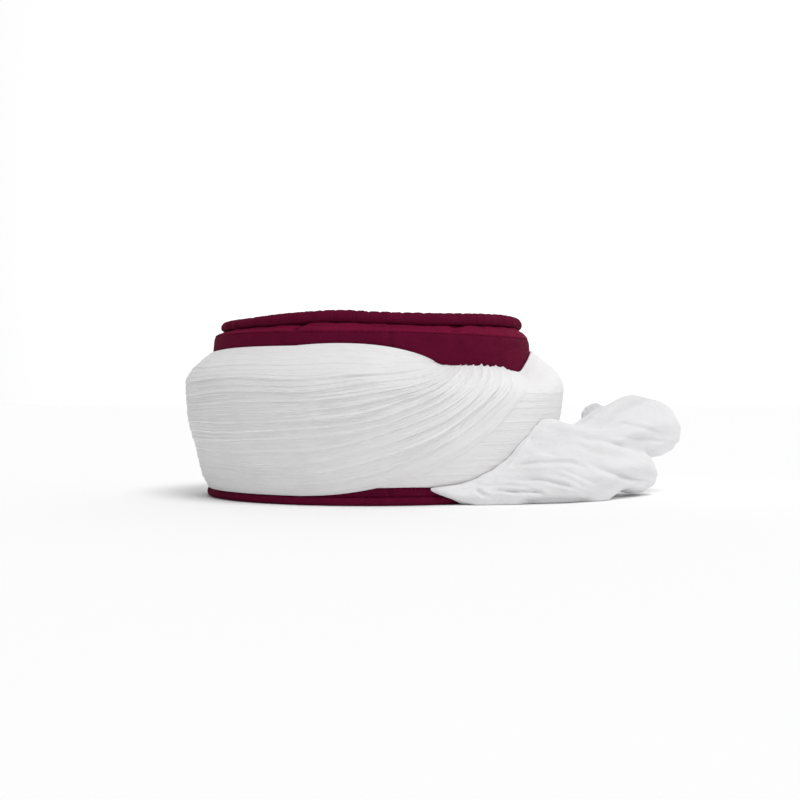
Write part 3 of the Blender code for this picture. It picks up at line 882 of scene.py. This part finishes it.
# Full folds on the near side: x, y, z of the middle, half width and half height
tailFolds = {
    "middle": (
        (0.0946, -0.0600, 0.0284, 0.0060, 0.0050),
        (0.1067, -0.0530, 0.0290, 0.0100, 0.0080),
        (0.1194, -0.0450, 0.0275, 0.0135, 0.0100),
        (0.1325, -0.0350, 0.0245, 0.0150, 0.0112),
        (0.1447, -0.0240, 0.0210, 0.0155, 0.0110),
        (0.1560, -0.0140, 0.0180, 0.0142, 0.0096),
        (0.1640, -0.0070, 0.0160, 0.0090, 0.0070),
    ),
    "under": (
        (0.1182, -0.0520, 0.0165, 0.0078, 0.0056),
        (0.1300, -0.0420, 0.0125, 0.0095, 0.0068),
        (0.1415, -0.0310, 0.0108, 0.0104, 0.0066),
        (0.1521, -0.0210, 0.0085, 0.0104, 0.0070),
        (0.1600, -0.0120, 0.0078, 0.0080, 0.0058),
    ),
}
# Lines that the folds follow, as seen from in front and drawn at the depth of the cap's axis:
# order upwards, depth and width of the crease, (across, height) along it, all in tenths of a millimetre
tailCreases = (
    (-30, 2, 16, ((870, -30), (970, -22), (1121, -17), (1219, -20))),
    (0, 18, 14, ((622, 23), (658, 2), (683, -14), (713, -8))),
    (6, 24, 12, ((683, 11), (792, 17), (865, 8), (999, 5), (1054, -8))),
    (34, 12, 11, ((597, 50), (689, 41), (780, 44), (902, 41), (981, 29))),
    (78, 15, 12, ((780, 75), (1024, 78), (1103, 62), (1176, 47), (1255, 23))),
    (108, 7, 11, ((1072, 114), (1146, 102), (1206, 84), (1280, 47), (1340, 23))),
    (135, 7, 11, ((1146, 139), (1219, 120), (1280, 90), (1328, 72), (1389, 59))),
    (178, 14, 13, ((829, 163), (993, 181), (1158, 184), (1231, 178), (1334, 139))),
    (200, 24, 22, ((1298, 187), (1407, 145), (1468, 123), (1608, 81), (1694, 78))),
    (240, 12, 14, ((926, 212), (951, 236), (993, 251), (1042, 251), (1146, 218))),
    (290, 4, 16, ((1237, 291), (1328, 254), (1420, 230), (1523, 206), (1633, 181))),
    (340, 14, 15, ((1255, 340), (1328, 327), (1407, 321), (1608, 257), (1682, 218))),
    (380, 8, 14, ((1462, 340), (1541, 337), (1633, 330), (1724, 321), (1803, 309))),
    (425, 11, 16, ((1389, 382), (1481, 407), (1560, 416), (1694, 385), (1779, 364))),
    (520, 7, 17, ((1426, 480), (1499, 519), (1572, 544), (1663, 553))),
)
# The loose cloth's edge on the wrap, seen in the same way
edgeOnWrap = (
    (0.0335, 0.0030), (0.0457, 0.0040), (0.0555, 0.0052), (0.0628, 0.0068), (0.0699, 0.0104),
    (0.0760, 0.0139), (0.0821, 0.0179), (0.0851, 0.0210), (0.0892, 0.0276), (0.0932, 0.0332),
    (0.0973, 0.0367), (0.1024, 0.0408), (0.1074, 0.0438),
)
# Small corner turned up behind: x, y, z, half width across the view, half thickness
curledEdge = (
    (0.1440, 0.0010, 0.0490, 0.0014, 0.0014),
    (0.1400, 0.0020, 0.0528, 0.0013, 0.0013),
    (0.1365, 0.0024, 0.0541, 0.0012, 0.0012),
    (0.1330, 0.0026, 0.0530, 0.0012, 0.0012),
    (0.1300, 0.0026, 0.0505, 0.0012, 0.0012),
    (0.1286, 0.0024, 0.0470, 0.0012, 0.0012),
    (0.1296, 0.0018, 0.0438, 0.0013, 0.0013),
    (0.1340, 0.0010, 0.0405, 0.0014, 0.0014),
)
# Thin cloth that fills that corner: x, y, z, half width across the view, half thickness
curlWeb = (
    (0.1345, 0.0016, 0.0400, 0.0009, 0.0058),
    (0.1345, 0.0020, 0.0460, 0.0009, 0.0060),
    (0.1352, 0.0022, 0.0535, 0.0009, 0.0030),
)


def tubeOfCloth(bm, rows, sides, relief=None, upright=True):
    # a closed tube through rows of x, y, z, half width, half height; relief makes the folds round it
    turn = bm.verts.layers.float.get("turn") or bm.verts.layers.float.new("turn")
    ringVerts = bmesh.ops.create_circle(bm, cap_ends=True, segments=sides, radius=1.0)["verts"]
    for vert in ringVerts:
        vert[turn] = math.atan2(vert.co.y, vert.co.x)
    edges = list({edge for vert in ringVerts for edge in vert.link_edges})
    for i, row in enumerate(rows):
        if i:
            made = bmesh.ops.extrude_edge_only(bm, edges=edges)["geom"]
            ringVerts = [part for part in made if isinstance(part, bmesh.types.BMVert)]
            fresh = set(ringVerts)
            made = [part for part in made if isinstance(part, bmesh.types.BMEdge)]
            edges = [edge for edge in made if fresh.issuperset(edge.verts)]
        middle = Vector(row[:3]) + capAxis
        ahead, behind = rows[min(i + 1, len(rows) - 1)], rows[max(i - 1, 0)]
        heading = (Vector(ahead[:3]) - Vector(behind[:3])).normalized()
        if upright:
            across = Vector((-heading.y, heading.x, 0)).normalized()
            up = Vector((0, 0, 1))
        else:
            across = Vector((0, 1, 0))
            up = heading.cross(across).normalized()
        for vert in ringVerts:
            angle = vert[turn]
            reach = relief(i / len(rows), angle) if relief else 1.0
            vert.co = middle + (across * row[3] * math.cos(angle) + up * row[4] * math.sin(angle)) * reach
    bmesh.ops.edgeloop_fill(bm, edges=edges)


def bundleRelief(folds, depth, seed):
    def relief(share, angle):
        swing = 1.4 * noise.noise(Vector((share * 3, seed, 0)))
        ripple = math.cos(folds * angle + swing * 2 + share * 1.5)
        wobble = noise.noise(Vector((math.cos(angle) * 2, math.sin(angle) * 2, share * 5 + seed)))
        return 1 + depth * ripple + 0.05 * wobble

    return relief


def middleRows(bundleRows):  # from bottom and top to middle and half height, a little slimmer
    slim = tail["coreShare"]
    rows = []
    for x, y, bottom, top, halfWidth in bundleRows:
        rows.append((x, y, (bottom + top) / 2, halfWidth * slim, (top - bottom) / 2 * slim))
    return rows


def smoothAll(bm, factor):
    bmesh.ops.smooth_vert(
        bm, verts=bm.verts, factor=factor, use_axis_x=True, use_axis_y=True, use_axis_z=True
    )


def makeTail():
    bm = bmesh.new()
    for bundleRows, seed in ((lowBundle, 3.0), (highBundle, 8.0)):
        rows = smoothLine(middleRows(bundleRows), 5)
        tubeOfCloth(bm, rows, 96, bundleRelief(8, 0.05, seed))
    for fold in tailFolds.values():
        tubeOfCloth(bm, smoothLine(fold, 6), 28)
    tubeOfCloth(bm, smoothLine(curledEdge, 6), 14, upright=False)
    tubeOfCloth(bm, smoothLine(curlWeb, 6), 20, upright=False)
    bmesh.ops.recalc_face_normals(bm, faces=bm.faces)
    holder = meshObject(bm, "tailRough")
    remesh = holder.modifiers.new("fuse", "REMESH")
    remesh.mode = "VOXEL"
    remesh.voxel_size = tail["voxel"]
    fused = bpy.data.meshes.new_from_object(holder.evaluated_get(bpy.context.evaluated_depsgraph_get()))
    bpy.data.objects.remove(holder)
    bm = bmesh.new()
    bm.from_mesh(fused)
    for _ in range(tail["smoothing"]):
        smoothAll(bm, 0.5)
    return bm


def seenFromFront(point):  # (across, height) where the camera sees it, at the depth of the cap's axis
    local = point - capAxis
    shrink = studio["distance"] / (studio["distance"] + local.y)
    eyeAcross, eyeHeight = studio["eye"]
    across = eyeAcross + (local.x - eyeAcross) * shrink
    return Vector((across, eyeHeight + (local.z - eyeHeight) * shrink, 0))


def lineTree(corners):
    line = [Vector((*point, 0)) for point in smoothLine(corners, 12)]
    tree = kdtree.KDTree(len(line))
    for i, point in enumerate(line):
        tree.insert(point, i)
    tree.balance()
    return line, tree


def offsetFrom(seen, line, tree):
    # how far above the line, the nearest point on it, and that point's place along it from 0 to 1
    nearest, i, _ = tree.find(seen)
    ahead = (line[min(i + 1, len(line) - 1)] - line[max(i - 1, 0)]).normalized()
    offset = seen - nearest
    return ahead.x * offset.y - ahead.y * offset.x, nearest, i / (len(line) - 1)


def foldsAt(seen, creases):  # (order of the folds upwards, in metres, and relief of the creases)
    total, weights, relief = 0.0, 0.0, 0.0
    for order, depth, width, line, tree in creases:
        above, nearest, place = offsetFrom(seen, line, tree)
        weight = 1 / ((seen - nearest).length_squared + 1e-6) ** 1.5
        total += weight * (order + above)
        weights += weight
        if abs(above) < 5 * width:
            fade = ease(min(place, 1 - place) / 0.25)
            valley = -bell(above, 0.85 * width) + 0.4 * bell(above + 1.9 * width, 1.3 * width)
            relief += depth * fade * (valley + 0.15 * bell(above - 2.2 * width, 1.5 * width))
    return total / weights, relief


def heightOnWrap(point, normal):
    # distance out from the cap's axis, and how far the wrap or the hem reaches there
    local = point - capAxis
    z = clamp(local.z, 0.0, 0.08)
    azimuth = math.degrees(math.atan2(local.x / cap["halfLength"], -local.y / cap["halfWidth"]))
    outward = Vector((local.x, local.y, 0)).normalized()
    overEdge = 0.0010 * ease((35 - azimuth) / 5)  # the outer turn's lower edge lies between
    limit = max(bellyOutset(azimuth, z) + overEdge + tail["clearOfWrap"], 0.0020)
    limit += tail["thinEdge"] * ease((normal.dot(outward) + 0.3) / 0.6)
    wall = ovalPoint(azimuth, limit, z) - capAxis
    return Vector((local.x, local.y)).length, Vector((wall.x, wall.y)).length


def movedOut(point, radius, wanted):  # to the wanted distance from the cap's axis
    local = point - capAxis
    return Vector((local.x * wanted / radius, local.y * wanted / radius, local.z)) + capAxis


def pressToWrap(point, normal, edge):
    # brings the loose cloth in to its edge on the wrap and keeps it thin near that
    seen = seenFromFront(point)
    above, nearest, place = offsetFrom(seen, *edge)
    if above > 0 and place < 1:
        grow = (studio["distance"] + point.y - capAxis.y) / studio["distance"]
        point = point + Vector((nearest.x - seen.x, 0, nearest.y - seen.y)) * grow
    inside = (seen - nearest).length if above < 0 or place == 1 else 0.0
    most = 0.0001 + tail["edgeSlope"] * inside + tail["edgeCurve"] * inside**2
    radius, wall = heightOnWrap(point, normal)
    height = radius - wall
    if height < 0:
        return movedOut(point, radius, wall)
    free, soft = 0.6, 0.4  # shares of the most it may stand off: left alone, and bent towards it
    if height < free * most:
        return point
    return movedOut(point, radius, wall + most * (free + soft * math.tanh((height / most - free) / soft)))


def makeTailCloth():
    bm = makeTail()
    flow = bm.verts.layers.float_vector.new("flow")
    creases = []
    for *sizes, corners in tailCreases:
        line, tree = lineTree([(across / 10000, height / 10000) for across, height in corners])
        creases.append((*(size / 10000 for size in sizes), line, tree))
    lowestLine, lowestTree = creases[0][3:]
    edge = lineTree(edgeOnWrap)
    heading = math.radians(tail["headingDegrees"])
    ahead = Vector((math.cos(heading), math.sin(heading), 0))
    side = Vector((-ahead.y, ahead.x, 0))
    bm.normal_update()
    for vert in bm.verts:
        vert.co = pressToWrap(vert.co, vert.normal, edge)
    bm.normal_update()
    moves = []
    for vert in bm.verts:
        local = vert.co - capAxis
        seen = seenFromFront(vert.co)
        order, relief = foldsAt(seen, creases)
        place = Vector((local.dot(ahead), local.dot(side), order))
        vert[flow] = place
        broad = noise.noise(Vector((place.x * 14, place.y * 60, place.z * 150)))
        long = noise.noise(Vector((place.x * 20, place.y * 130, place.z * 330)))
        short = noise.noise(Vector((place.x * 34, place.y * 240, place.z * 650)))
        move = vert.normal * tail["wrinkle"] * (1.5 * broad + 1.1 * long + 0.6 * short)
        facing = ease((0.3 - vert.normal.y) / 0.5)
        if facing > 0:
            direction = (vert.normal + Vector((0, -0.7, 0))).normalized()
            below, _, along = offsetFrom(seen, *edge)
            ridge = tail["edgeRidge"] * bell(below + 0.0021, 0.0011) * ease(min(along, 1 - along) / 0.15)
            move += direction * (relief + ridge) * facing
            above, _, along = offsetFrom(seen, lowestLine, lowestTree)
            tucked = ease(-above / 0.0022) * ease(along / 0.3) * ease((0.1420 - seen.x) / 0.02)
            # the lowest fold is tucked under the ones above
            move += Vector((0.003, 0.0055, 0)) * tucked * facing
        moves.append(move)
    for vert, move in zip(bm.verts, moves):
        vert.co += move
    smoothAll(bm, 0.4)
    for vert in bm.verts:
        radius, wall = heightOnWrap(vert.co, vert.normal)
        if radius < wall:
            vert.co = movedOut(vert.co, radius, wall)
        vert.co.z = max(vert.co.z, 0.0)
    print("loose end:", len(bm.faces), "faces")
    return bm


# the loose end wears the greyer copy of the voile, painted shade
looseEnd = finishPiece(makeTailCloth(), "looseEnd", looseVoileShaded, "tail")
print("loose end made")

# Studio: a pale floor, soft light from all round, a broad light from the upper right,
# and the photograph's camera


def makeStudio():
    bm = bmesh.new()
    bmesh.ops.create_grid(bm, x_segments=4, y_segments=4, size=12)
    for vert in bm.verts:
        vert.co.z = -0.0002
    floor = meshObject(bm, "studioFloor")
    paper = bpy.data.materials.new("backdropPaper")  # matt white paper
    paper.use_nodes = True
    shader = paper.node_tree.nodes["Principled BSDF"]
    shader.inputs["Base Color"].default_value = linearColour(studio["floorColour"])
    shader.inputs["Roughness"].default_value = 0.95
    shader.inputs["Specular IOR Level"].default_value = 0.1
    floor.data.materials.append(paper)

    world = bpy.data.worlds.new("softStudio")
    world.use_nodes = True
    tree = world.node_tree
    direction = addNode(tree, "TexCoord").outputs["Generated"]
    parts = addNode(tree, "SeparateXYZ", {}, {0: direction})
    behind = addNode(tree, "Math", {"operation": "MAXIMUM", 1: 0.0}, {0: parts.outputs["Y"]})
    focus = addNode(tree, "Math", {"operation": "POWER", 1: studio["skyFocus"]}, {0: behind.outputs[0]})
    rise = studio["skyBack"] - studio["skyFront"]
    mix = {"operation": "MULTIPLY_ADD", 1: rise, 2: studio["skyFront"]}
    level = addNode(tree, "Math", mix, {0: focus.outputs[0]})
    right = addNode(tree, "Math", {"operation": "MULTIPLY", 1: studio["skyRight"]}, {0: parts.outputs["X"]})
    left = addNode(tree, "Math", {"operation": "MULTIPLY", 1: studio["skyLeft"]}, {0: parts.outputs["X"]})
    lean = addNode(tree, "Math", {"operation": "MINIMUM"}, {0: right.outputs[0], 1: left.outputs[0]})
    leaning = addNode(tree, "Math", {"operation": "ADD"}, {0: level.outputs[0], 1: lean.outputs[0]})
    mix = {"operation": "MULTIPLY_ADD", 1: studio["skyAbove"]}
    strength = addNode(tree, "Math", mix, {0: parts.outputs["Z"], 2: leaning.outputs[0]})
    tree.links.new(strength.outputs[0], tree.nodes["Background"].inputs["Strength"])
    tree.nodes["Background"].inputs["Color"].default_value = linearColour(studio["skyColour"])
    bpy.context.scene.world = world

    key = bpy.data.lights.new("key", "SUN")
    key.energy = studio["sunStrength"]
    key.angle = math.radians(studio["sunSize"])
    keyObject = addObject("key", key)
    keyObject.rotation_euler = (math.radians(studio["sunTilt"]), 0, math.radians(studio["sunTurn"]))

    camera = bpy.data.cameras.new("camera")
    camera.lens = studio["lens"]
    camera.sensor_width = 36
    cameraObject = addObject("camera", camera)
    cameraObject.location = studio["cameraPlace"]
    cameraObject.rotation_euler = (math.radians(90), 0, 0)
    bpy.context.scene.camera = cameraObject
    bpy.context.scene.view_settings.view_transform = "Standard"


makeStudio()
print("studio made")
